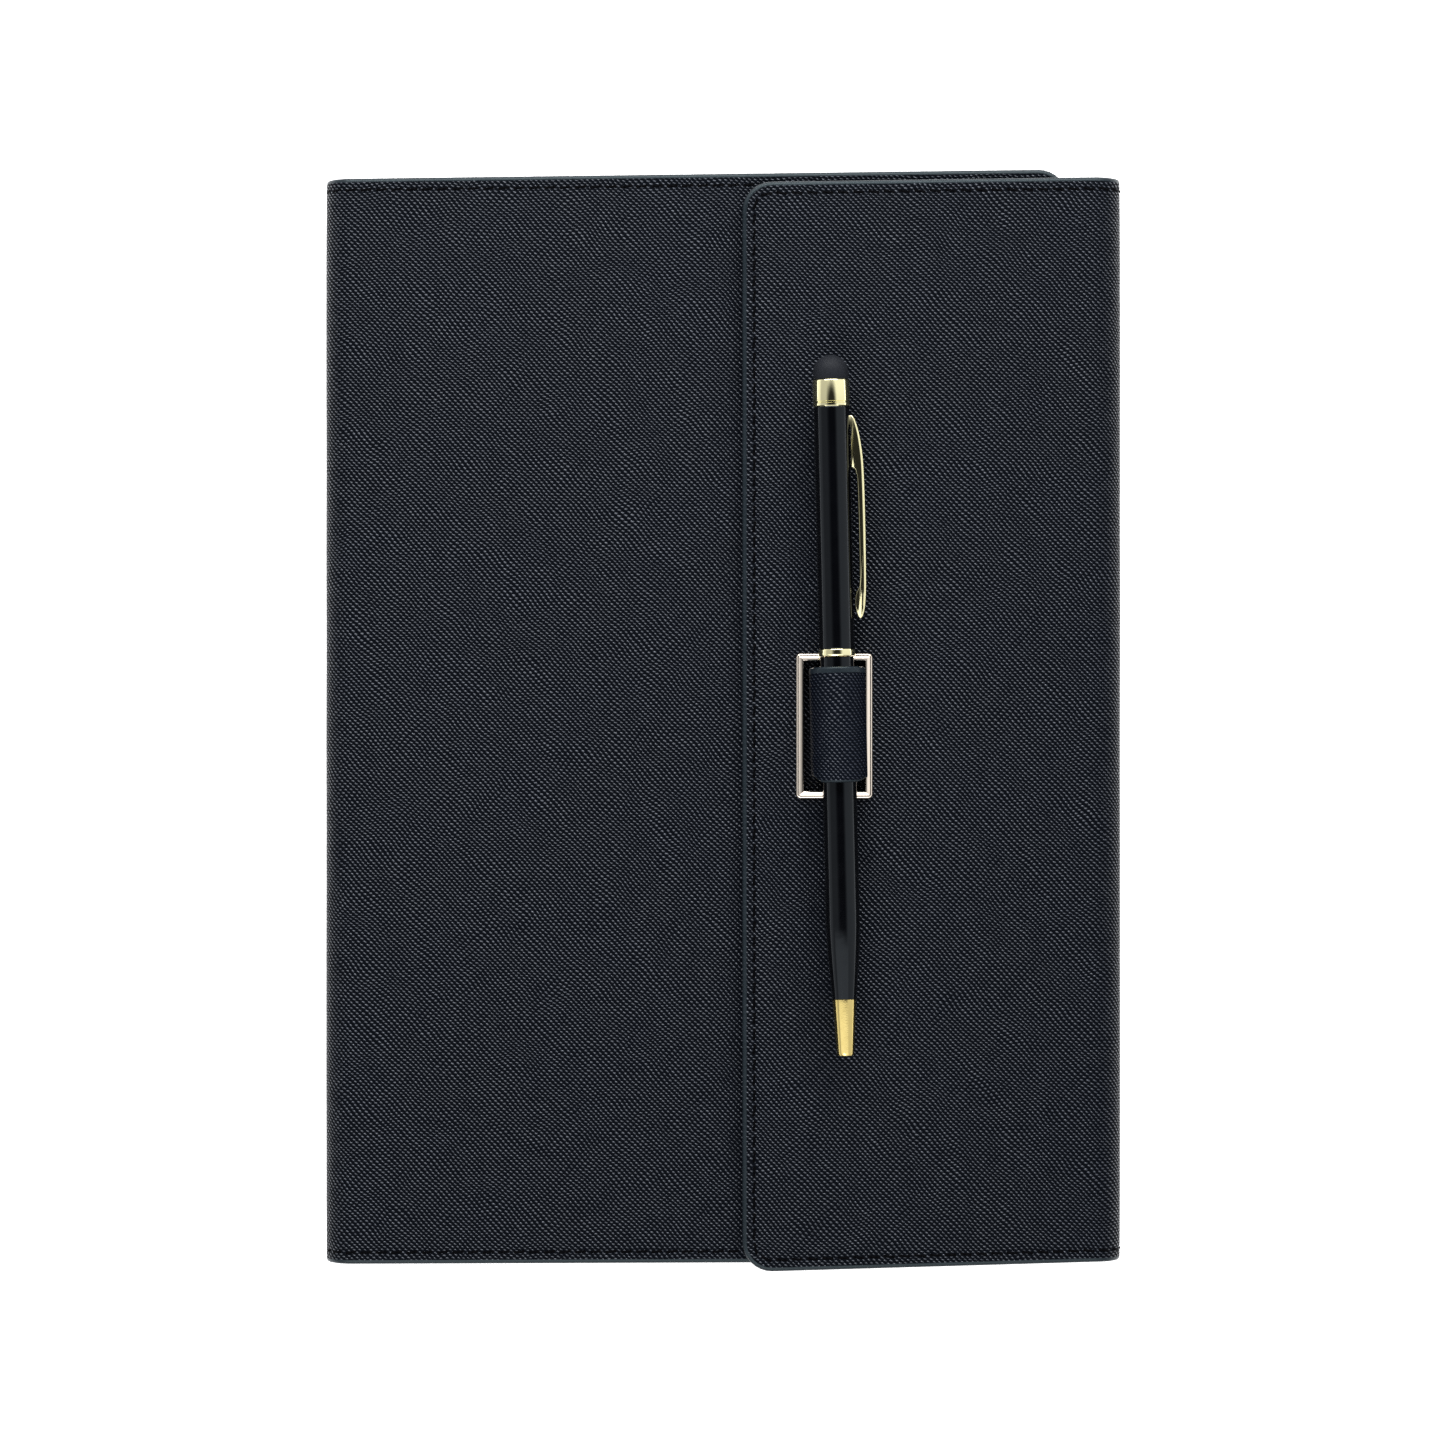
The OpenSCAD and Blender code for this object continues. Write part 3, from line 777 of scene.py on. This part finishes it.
# The CAD nodes that each wing's leather and lining stand for; the back's are shared out between its wings
NODES_OF = {
    "front": (["front_skin", "front_crease", "front_board"], ["front_lining"]),
    "flap": (["flap_skin", "flap_crease", "flap_board"], ["flap_lining"]),
    "back_left": (["back_skin", "back_left_crease", "left_spine_skin", "left_spine_board"],
                  ["back_lining", "left_spine_lining"]),
    "back_right": (["back_board", "back_right_crease", "right_spine_skin", "right_spine_board"],
                   ["right_spine_lining"]),
}


def make_wing(index, wing):
    leather, lining = outer_leather(wing), inner_lining(wing)
    stitches = stitch_row(f"{wing.name}_stitches", wing, 40 + index)
    if wing.name == "flap":
        low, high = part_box("window_frame")
        under_rim = Vector((0.3 * MM, 0.3 * MM, 0))
        for obj in (leather, lining):
            cut_box(obj, low + under_rim - UP * PANEL_T, high - under_rim)
    skin_nodes, lining_nodes = NODES_OF[wing.name]
    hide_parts(*skin_nodes)
    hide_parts(*lining_nodes)
    for obj in (leather, lining, stitches):
        wing.join(obj)


# ---- window frame ----


def rounded_ring(low, high, inset, radius, z):
    """Points round a rectangle with rounded corners."""
    steps = 6
    points = []
    r = max(radius - inset, 0.02 * MM)
    corners = [(high.x, high.y, 0), (low.x, high.y, 90), (low.x, low.y, 180), (high.x, low.y, 270)]
    for x, y, start in corners:
        cx = x - math.copysign(inset + r, x - (low.x + high.x) / 2)
        cy = y - math.copysign(inset + r, y - (low.y + high.y) / 2)
        for k in range(steps + 1):
            a = math.radians(start + 90 * k / steps)
            points.append(Vector((cx + r * math.cos(a), cy + r * math.sin(a), z)))
    return points


def metal_ring(name, node, section, radius):
    """A closed rim on the flap, round a rectangle. section lists (inset from the node's box, height)."""
    low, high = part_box(node)
    bm = bmesh.new()
    rings = [
        [bm.verts.new(p) for p in rounded_ring(low, high, inset, radius, z)]
        for inset, z in section
    ]
    for a, b in zip(rings, rings[1:] + rings[:1]):
        bridge(bm, a, b, closed=True)
    obj = finish_mesh(name, bm, [FRAME_GOLD], 42)
    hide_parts(node)
    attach(obj, "flap")


# The rim's bevel, step, crown and inner fall, in mm: in from the frame's outside, down from its top
RIM_OUTLINE = [
    (0.0, 0.92), (0.04, 0.72), (0.14, 0.55), (0.26, 0.42), (0.36, 0.37), (0.45, 0.37), (0.54, 0.37),
    (0.6, 0.3), (0.72, 0.2), (0.92, 0.12), (1.12, 0.06), (1.28, 0.02), (1.38, 0.0),
    (1.45, 0.02), (1.51, 0.09), (1.57, 0.23), (1.61, 0.45), (1.64, 0.8),
]
WINDOW_W = 12.2 * MM


def make_window():
    low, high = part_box("window_frame")
    bar = (high.x - low.x - WINDOW_W) / 2
    # The rim lies on the flap, and its inner wall goes through the leather
    seat = FLAP_TOP - 0.02 * MM
    wall = bar - 0.62 * MM
    section = [(wall, low.z), (wall, seat), (0.06 * MM, seat), (0.0, FLAP_TOP + 0.06 * MM)]
    section += [(inset * MM, high.z - drop * MM) for inset, drop in RIM_OUTLINE]
    section += [(bar, high.z - 1.2 * MM), (bar, low.z)]
    metal_ring("window_rim", "window_frame", section, 0.95 * MM)
    low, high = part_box("frame_back_plate")
    edge = 0.1 * MM
    section = [
        (bar, low.z + edge), (bar - edge, low.z), (edge, low.z),
        (0, low.z + edge), (0, high.z), (bar, high.z),
    ]
    metal_ring("window_back", "frame_back_plate", section, 0.8 * MM)
    set_material("frame_prongs", FRAME_GOLD)


# ---- pen ----

PEN_AXIS = Vector(joints["pen_twist"]["axis"]).normalized()
PEN_MID = Vector(joints["pen_twist"]["pos_m"])
PEN_RIGHT = Vector((-PEN_AXIS.y, PEN_AXIS.x, 0)).normalized()
BORE_R = 2.6 * MM
STEM_R = 2.5 * MM
REFILL_BORE_R = 1.8 * MM


def pen_span(node):
    """A pen node's ends along the axis, from the middle joint, and its largest radius."""
    points = [v.co - PEN_MID for v in frame["nodes"][node].data.vertices]
    ends = [p.dot(PEN_AXIS) for p in points]
    radius = max((p - PEN_AXIS * p.dot(PEN_AXIS)).length for p in points)
    return min(ends), max(ends), radius


def pen_point(along, right, up):
    return PEN_MID + PEN_AXIS * along + PEN_RIGHT * right + UP * up


def lathe(name, node, points, material, body, closed=True):
    """A turned part on the pen's axis, from (distance along it, radius) points."""
    sides = 72
    bm = bmesh.new()
    rings = []
    for along, r in points:
        if r > 0:
            rings.append([
                bm.verts.new(pen_point(along, r * math.cos(a), r * math.sin(a))) for a in circle(sides)
            ])
        else:
            rings.append([bm.verts.new(pen_point(along, 0, 0))] * sides)
    for a, b in zip(rings, rings[1:] + (rings[:1] if closed else [])):
        bridge(bm, a, b, closed=True)
    obj = finish_mesh(name, bm, [material], 32, merge=1e-8)
    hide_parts(node)
    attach(obj, body)


def rounded_tube(start, end, outer, inner, edge):
    """A tube's outline with small rounded outer edges, and a point beyond each to keep its shading short."""
    near = edge * 0.3
    return [
        (start, inner), (start, outer - edge), (start + near, outer - near), (start + edge, outer),
        (start + 2 * edge, outer), (end - 2 * edge, outer),
        (end - edge, outer), (end - near, outer - near), (end, outer - edge), (end, inner),
    ]


def make_stylus():
    start, stem_end, r = pen_span("stylus_tip")
    ferrule_start, _, _ = pen_span("stylus_ferrule")
    dome = [(start + r * (1 - math.cos(a)), r * math.sin(a)) for a in spread(0, math.pi / 2, 15)]
    skirt = [(ferrule_start - 0.35 * MM, r), (ferrule_start - 0.1 * MM, r - 0.12 * MM)]
    stem = [(ferrule_start, STEM_R), (stem_end, STEM_R), (stem_end, 0)]
    points = dome + skirt + stem
    lathe("stylus_dome", "stylus_tip", points, RUBBER, "pen_upper", closed=False)


def make_ferrule():
    """A gold cap with a turned groove, a socket for the stylus and a spigot in the barrel."""
    start, end, r = pen_span("stylus_ferrule")
    barrel, _, _ = pen_span("upper_barrel")
    edge = 0.22 * MM
    groove_r = r - 0.14 * MM
    socket = start + 3.9 * MM
    points = [
        (start, STEM_R), (start, r - edge), (start + 0.3 * edge, r - 0.3 * edge), (start + edge, r),
        (barrel - 1.1 * MM, r), (barrel - 1.0 * MM, groove_r), (barrel - 0.8 * MM, groove_r),
        (barrel - 0.7 * MM, r), (barrel - edge, r), (barrel, r - edge), (barrel, BORE_R),
        (end, BORE_R), (end, 0), (socket, 0), (socket, STEM_R),
    ]
    lathe("gold_ferrule", "stylus_ferrule", points, PEN_GOLD, "pen_upper")


def make_upper_barrel():
    points = rounded_tube(*pen_span("upper_barrel"), BORE_R, 0.15 * MM)
    lathe("upper_tube", "upper_barrel", points, LACQUER, "pen_upper")


def make_middle_ring():
    points = rounded_tube(*pen_span("middle_ring"), BORE_R, 0.2 * MM)
    lathe("gold_ring", "middle_ring", points, PEN_GOLD, "pen_upper")


def make_lower_barrel():
    """Straight, then tapered to the cone, with a narrower bore in front of the twist mechanism."""
    start, end, r = pen_span("lower_barrel")
    cone_start, _, cone_r = pen_span("tip_cone")
    edge = 0.15 * MM
    taper = cone_start - 15.1 * MM
    front_bore_r = 1.9 * MM
    points = [(start, BORE_R), (start, r - edge), (start + edge, r), (start + 0.5 * MM, r)]
    points += [(taper + (end - taper) * t, r - (r - cone_r) * t ** 1.35) for t in spread(0, 1, 11)]
    points += [(end, front_bore_r), (start + 9.5 * MM, front_bore_r), (start + 5.5 * MM, BORE_R)]
    lathe("lower_tube", "lower_barrel", points, LACQUER, "pen_lower")


def make_cone():
    """The gold tip: a long cone with a short straight mouth, bored for the refill."""
    start, end, r = pen_span("tip_cone")
    mouth_r = 1.75 * MM
    tip_bore_r = 1.4 * MM
    points = [
        (start, REFILL_BORE_R), (start, r - 0.1 * MM), (start + 0.12 * MM, r),
        (start + 0.9 * MM, r - 0.03 * MM), (end - 0.75 * MM, mouth_r + 0.02 * MM),
        (end - 0.35 * MM, mouth_r), (end - 0.08 * MM, mouth_r - 0.12 * MM), (end, mouth_r - 0.3 * MM),
        (end, 1.28 * MM), (end - 1.4 * MM, 1.25 * MM), (end - 3 * MM, tip_bore_r),
        (start + 4 * MM, tip_bore_r), (start + 3.4 * MM, REFILL_BORE_R),
    ]
    lathe("gold_cone", "tip_cone", points, CONE_GOLD, "pen_lower")


def between(p, q, r, s, t):
    """The value at t on a smooth curve from q to r, where p comes before them and s after."""
    square = (2 * p - 5 * q + 4 * r - s) * t ** 2
    cube = (3 * q - p - 3 * r + s) * t ** 3
    return 0.5 * (2 * q + (r - p) * t + square + cube)


def curve_through(points, steps):
    """A closed smooth line through points, with steps points to each gap."""
    count = len(points)
    found = []
    for i in range(count):
        near = [points[(i + k) % count] for k in (-1, 0, 1, 2)]
        for k in range(steps):
            found.append(tuple(between(*values, k / steps) for values in zip(*near)))
    return found


# The clip seen from above, in mm: out from the barrel's side, down from the clip's top, its slope's width
CLIP_OUTLINE = [
    (-0.3, 0.5, 0.12), (0.2, 0.05, 0.16), (0.75, 0.4, 0.3), (1.2, 1.3, 0.42), (1.75, 3.2, 0.5),
    (2.2, 5.8, 0.55), (2.55, 9, 0.58), (2.7, 13, 0.6), (2.75, 20, 0.6), (2.72, 28, 0.6),
    (2.6, 35, 0.58), (2.3, 38.6, 0.5), (1.8, 40.4, 0.36), (1.25, 40.85, 0.26), (0.75, 40.3, 0.2),
    (0.35, 38.8, 0.18), (0.25, 37.2, 0.18), (0.5, 35.8, 0.18), (1.05, 34.6, 0.2), (1.22, 33.4, 0.22),
    (1.28, 31, 0.22), (1.3, 25, 0.22), (1.28, 18, 0.22), (1.2, 13.2, 0.2), (1.0, 11.6, 0.16),
    (0.6, 10.75, 0.14), (0.1, 10.5, 0.12), (-0.02, 9.4, 0.12), (0.14, 8.4, 0.12), (0.02, 7.2, 0.12),
    (0.12, 6.0, 0.12), (0.02, 4.9, 0.12), (0.25, 3.9, 0.12), (0.2, 2.9, 0.12), (-0.1, 2.0, 0.12),
    (-0.35, 1.4, 0.1),
]


def make_clip():
    """A pressed strip with sloped edges: a foot on the barrel, a narrow spring and a leaf-shaped end."""
    _, _, wall = pen_span("upper_barrel")
    top = min((v.co - PEN_MID).dot(PEN_AXIS) for v in frame["nodes"]["pen_clip"].data.vertices)
    low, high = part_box("pen_clip")
    half = (high.z - low.z) / 2
    line = curve_through(CLIP_OUTLINE, 5)
    bm = bmesh.new()
    rings = []
    # (share of the slope's width, share of the way down it, the upper or the lower side)
    for inwards, drop, side in (
        (1.0, 0.0, 1), (0.75, 0.05, 1), (0.4, 0.3, 1), (0.12, 0.6, 1), (0.0, 1.0, 1),
        (0.0, 1.0, -1), (0.12, 0.6, -1), (0.4, 0.3, -1), (1.0, 0.0, -1),
    ):
        ring = []
        for i, (out, along, width) in enumerate(line):
            xa, ya, _ = line[i - 1]
            xb, yb, _ = line[(i + 1) % len(line)]
            span = math.hypot(xb - xa, yb - ya)
            x = out - (yb - ya) / span * width * inwards
            y = along + (xb - xa) / span * width * inwards
            # The strip is thinner at its foot and at its end
            thinner = 0.6 * max(0.0, 1 - along / 7) ** 2 + 0.25 * max(0.0, (along - 36) / 5) ** 2
            slope = drop * (0.12 + 0.75 * width)
            height = side * (half - (slope + thinner) * MM)
            ring.append(bm.verts.new(pen_point(top + y * MM, wall + x * MM, height)))
        rings.append(ring)
    for a, b in zip(rings, rings[1:]):
        bridge(bm, a, b, closed=True)
    for ring in (rings[0], rings[-1]):
        rim = [e for e in bm.edges if e.verts[0] in ring and e.verts[1] in ring]
        bmesh.ops.triangle_fill(bm, edges=rim)
    obj = finish_mesh("gold_clip", bm, [PEN_GOLD], 45, merge=1e-8)
    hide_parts("pen_clip")
    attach(obj, "pen_clip")


# ---- pen loop ----


# The loop's wall, half the width between its legs, and the level where the legs have drawn together
LOOP_WALL = 1.8 * MM
LOOP_NECK = 4.8 * MM
LOOP_KNEE = -7.2 * MM

# The loop's painted end: distance in from the end, share of the wall from outside, material
LOOP_EDGE = [
    (1.2 * MM, 0.0, 0), (0.42 * MM, 0.0, 1), (0.2 * MM, 0.03, 1), (0.06 * MM, 0.12, 1),
    (0.0, 0.36, 1), (0.0, 0.7, 1), (0.1 * MM, 0.9, 1), (0.4 * MM, 1.0, 1),
]


def loop_section(r, half_neck):
    """The cross-section of one face of the loop as (right, up), from foot to foot over the crown."""
    foot = FRONT_TOP - 0.8 * MM - PEN_MID.z
    arc = [(r * math.sin(a), r * math.cos(a)) for a in spread(0, math.radians(118), 23)]
    x, y = arc[-1]
    leg = [
        (x + (half_neck - x) * smooth_step(0, 1, t), y + (LOOP_KNEE - y) * t) for t in (0.35, 0.7, 1.0)
    ]
    half = arc + leg + [(half_neck, foot)]
    return [(-x, y) for x, y in reversed(half[1:])] + half


def loop_end_shift(x, side):
    """How far the band's end moves along the pen at x: the lower corners are cut off a little."""
    cut = (1.25 if x < 0 else 0.7) * MM if side > 0 else 0.12 * MM
    return -side * cut * smooth_step(3.6 * MM, 5.6 * MM, abs(x))


def make_loop():
    """A band of grained leather round the pen, with painted ends, on two legs in the front cover."""
    along = [(v.co - PEN_MID).dot(PEN_AXIS) for v in frame["nodes"]["pen_loop"].data.vertices]
    start, end = min(along), max(along)
    outer_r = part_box("pen_loop")[1].z - PEN_MID.z
    outer = loop_section(outer_r, LOOP_NECK)
    inner = loop_section(outer_r - LOOP_WALL, LOOP_NECK - LOOP_WALL)
    gone = [0.0]
    for (xa, ya), (xb, yb) in zip(outer, outer[1:]):
        gone.append(gone[-1] + math.hypot(xb - xa, yb - ya))
    middle = gone[-1] / 2

    # (way in from an end or 0, distance in from it or share of the length, share of the wall, material)
    rows = [(1, distance, share, material) for distance, share, material in reversed(LOOP_EDGE)]
    rows += [(0, t, 0.0, 0) for t in spread(0.12, 0.88, 9)]
    rows += [(-1, distance, share, material) for distance, share, material in LOOP_EDGE]
    bm = bmesh.new()
    layers = grain_layers(bm)
    rings = []
    for way, distance, share, _ in rows:
        ring = []
        for (xo, yo), (xi, yi), unrolled in zip(outer, inner, gone):
            low_end, high_end = start + loop_end_shift(xo, -1), end + loop_end_shift(xo, 1)
            if way:
                at = (low_end if way > 0 else high_end) + way * distance
            else:
                at = low_end + (high_end - low_end) * distance
            v = bm.verts.new(pen_point(at, xo + (xi - xo) * share, yo + (yi - yo) * share))
            v[layers[0]], v[layers[1]] = 0.4 + unrolled - middle, at
            ring.append(v)
        rings.append(ring)
    for a, b, row in zip(rings, rings[1:], rows):
        bridge(bm, a, b, material=row[-1])
    bridge(bm, rings[-1], rings[0], material=1)
    fill_holes(bm)
    lay_grain(bm, layers)
    obj = finish_mesh("loop_band", bm, [LOOP_NAVY, PAINT], 50)
    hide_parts("pen_loop")
    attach(obj, "front_cover")


# ---- writing pad and pockets ----


def make_pages():
    """Thin bundles of sheets, each a hair out of line with the next, and short beside the sleeve."""
    draw = random.Random(7)
    low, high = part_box("page_block")
    sleeve_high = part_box("pad_sleeve")[1]
    bundles, gap, edge = 26, 0.03 * MM, 0.05 * MM
    bm = bmesh.new()
    levels = spread(low.z, high.z, bundles + 1)
    for z_low, z_high in zip(levels, levels[1:]):
        short = z_low < sleeve_high.z + 0.2 * MM
        x_out, y_out = (draw.uniform(0, 0.22) * MM for _ in range(2))
        x_low, x_high = low.x + x_out, high.x - x_out
        y_low = sleeve_high.y + 0.4 * MM if short else low.y + y_out
        corners = [(x_low, y_low), (x_high, y_low), (x_high, high.y), (x_low, high.y)]
        rings = []
        for z, inset in ((z_low + gap, edge), (z_low + 2 * gap, 0), (z_high - gap, 0), (z_high, edge)):
            rings.append([
                bm.verts.new((x - math.copysign(inset, x), y - math.copysign(inset, y), z))
                for x, y in corners
            ])
        solid(bm, rings)
    obj = finish_mesh("sheets", bm, [PAPER], 30, merge=1e-9)
    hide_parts("page_block")
    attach(obj, "notepad")


def make_pad():
    make_pages()
    for node, name, material, slot in (
        ("pad_back_card", "card_back", PAD_CARD, "pad_card"),
        ("pad_cover", "cover_card", PAD_COVER, "pad_cover_card"),
        ("pad_binding", "tape", TAPE, "binding_tape"),
    ):
        obj = refined(node, name, material, 0.1 * MM, 2)
        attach(obj, "notepad")


def make_pockets():
    cards = [f"card_pocket_{place}" for place in ("upper", "middle", "lower")]
    for node in ("pad_sleeve", "slip_pocket", *cards):
        obj = refined(node, f"{node}_leather", POCKET, 0.18 * MM, 3)
        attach(obj, "back_cover" if node == "pad_sleeve" else "front_cover")


# ---- room, light and camera ----


def make_floor():
    bm = bmesh.new()
    bmesh.ops.create_grid(bm, x_segments=8, y_segments=8, size=3.0)
    m = Shader("pale_floor")
    speck = m.noise(m.object_mm(), 0.002).outputs["Fac"]
    white = m.mix(speck, (0.92, 0.92, 0.92), (0.95, 0.95, 0.95))
    m.surface(
        Base_Color=white,
        Roughness=0.9,
        Specular_IOR_Level=0.0,
        Emission_Color=white,
        Emission_Strength=0.62,
    )
    floor = finish_mesh("floor", bm, [m.material])
    floor.location.z = -0.4 * MM


def make_room():
    """White walls, and a dark ceiling where the camera hangs, with a pale panel beside it."""
    world = bpy.data.worlds.new("room")
    bpy.context.scene.world = world
    world.use_nodes = True
    room = Nodes(world.node_tree)
    axes = room.node("ShaderNodeSeparateXYZ")
    room.link(room.node("ShaderNodeTexCoord").outputs["Generated"], axes.inputs[0])
    x, y, z = axes.outputs

    def ease(axis, start, end, before, after):
        """A brightness that goes from before to after between two places on an axis of the direction."""
        return room.remap(axis, start, end, before, after, "SMOOTHSTEP")

    def both(a, b):
        return room.math("MULTIPLY", a, b)

    ceiling = both(ease(z, 0.8, 0.975, 1.0, 0.02), ease(y, -0.8, 0.8, 0.85, 1.2))
    # The left wall is darker higher up, which gives the bevels and barrels their dark side
    left_wall = both(ease(x, -0.15, -0.45, 0.0, 1.0), ease(z, 0.2, 0.42, 0.0, 0.45))
    walls = both(ceiling, room.math("SUBTRACT", 1.0, left_wall))
    panel = both(ease(y, -0.13, -0.17, 0.0, 1.55), ease(x, 0.66, 0.54, 0.0, 1.0))
    panel = both(panel, ease(z, 0.3, 0.6, 0.0, 1.0))
    background = room.tree.nodes["Background"]
    room.link(room.math("MAXIMUM", walls, panel), background.inputs["Strength"])
    background.inputs["Color"].default_value = (0.97, 0.98, 1.0, 1.0)


def soft_light(name, place, aim, size, power):
    data = bpy.data.lights.new(name, "AREA")
    data.shape, data.size, data.size_y = "RECTANGLE", size[0], size[1]
    data.energy = power
    lamp = bpy.data.objects.new(name, data)
    bpy.context.scene.collection.objects.link(lamp)
    lamp.location = place
    lamp.rotation_mode = "QUATERNION"
    lamp.rotation_quaternion = (Vector(aim) - Vector(place)).to_track_quat("-Z", "Y")


CAMERA_DISTANCE = 0.88
SENSOR_MM = 36
LENS_MM = 108.3


def make_camera():
    """Straight above the middle of the cover, as far as the photograph's perspective says."""
    data = bpy.data.cameras.new("camera")
    data.sensor_width = SENSOR_MM
    data.lens = LENS_MM
    data.clip_start, data.clip_end = 0.01, 20
    camera = bpy.data.objects.new("camera", data)
    bpy.context.scene.collection.objects.link(camera)
    camera.location = (0, 0, FRONT_TOP + CAMERA_DISTANCE)
    bpy.context.scene.camera = camera


make_camera()
for number, strip in enumerate(WINGS.values()):
    make_wing(number, strip)
make_window()
make_stylus()
make_ferrule()
make_upper_barrel()
make_middle_ring()
make_lower_barrel()
make_cone()
make_clip()
make_loop()
make_pad()
make_pockets()
set_material("twist_mechanism", BRASS)
set_material("refill_tip", BRASS)
set_material("refill_tube", REFILL)
make_floor()
make_room()
soft_light("top_softbox", (0.0, 0.62, 0.46), (0, 0.02, 0), (0.9, 0.35), 10.0)
soft_light("low_fill", (-0.2, -0.68, 0.9), (0, -0.1, 0), (0.7, 0.5), 3.5)
bpy.context.scene.view_settings.view_transform = "Standard"
